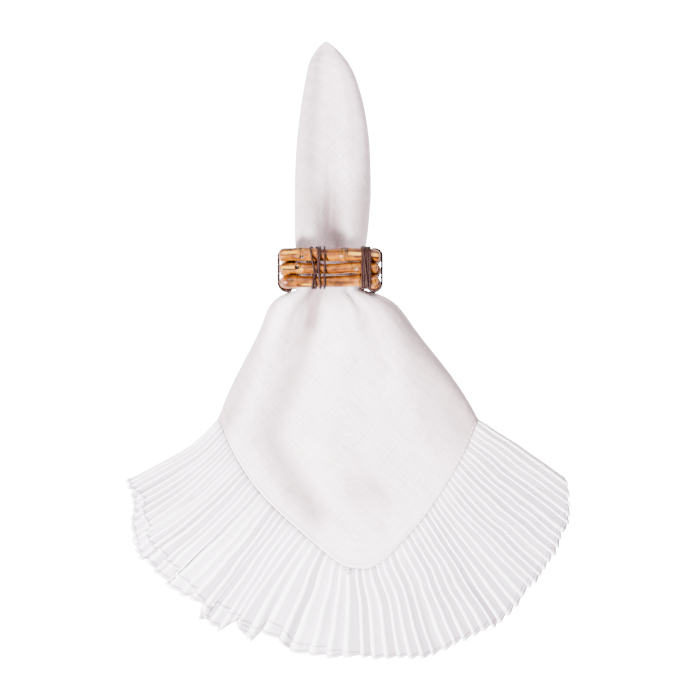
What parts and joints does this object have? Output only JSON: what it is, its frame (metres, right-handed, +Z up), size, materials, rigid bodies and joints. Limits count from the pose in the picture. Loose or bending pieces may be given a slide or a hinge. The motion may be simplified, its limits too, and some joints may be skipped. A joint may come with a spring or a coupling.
{
  "type": "ruffled linen napkin drawn through a bamboo napkin ring",
  "caption": "White linen napkin with a pleated ruffle, folded in quarters and drawn through a ring of bamboo rods lashed with dark waxed cord.",
  "frame": {"origin": "on the table surface, under the middle of the whole napkin", "axes": "+Z up from the table, +Y along the napkin toward its pointed folded tip, +X to the right seen from above with the tip away"},
  "size_m": [0.2685, 0.3774, 0.0516],
  "materials": {
    "linen": "matte",
    "ruffle_linen": "matte",
    "bamboo": "gloss",
    "waxed_cord": "satin"
  },
  "bodies": {
    "root": {"linen_panel": "linen", "pleated_ruffle": "ruffle_linen", "rod_front_upper": "bamboo", "rod_front_middle": "bamboo", "rod_front_lower": "bamboo", "rod_back_upper": "bamboo", "rod_back_middle": "bamboo", "rod_back_lower": "bamboo", "rod_left_upper": "bamboo", "rod_left_middle": "bamboo", "rod_left_lower": "bamboo", "rod_right_upper": "bamboo", "rod_right_middle": "bamboo", "rod_right_lower": "bamboo", "lashing_front_left_1": "waxed_cord", "lashing_front_left_2": "waxed_cord", "lashing_front_left_3": "waxed_cord", "lashing_front_right": "waxed_cord", "lashing_side_left": "waxed_cord", "lashing_side_right": "waxed_cord", "lashing_back_left": "waxed_cord", "lashing_back_right": "waxed_cord"}
  },
  "joints": []
}
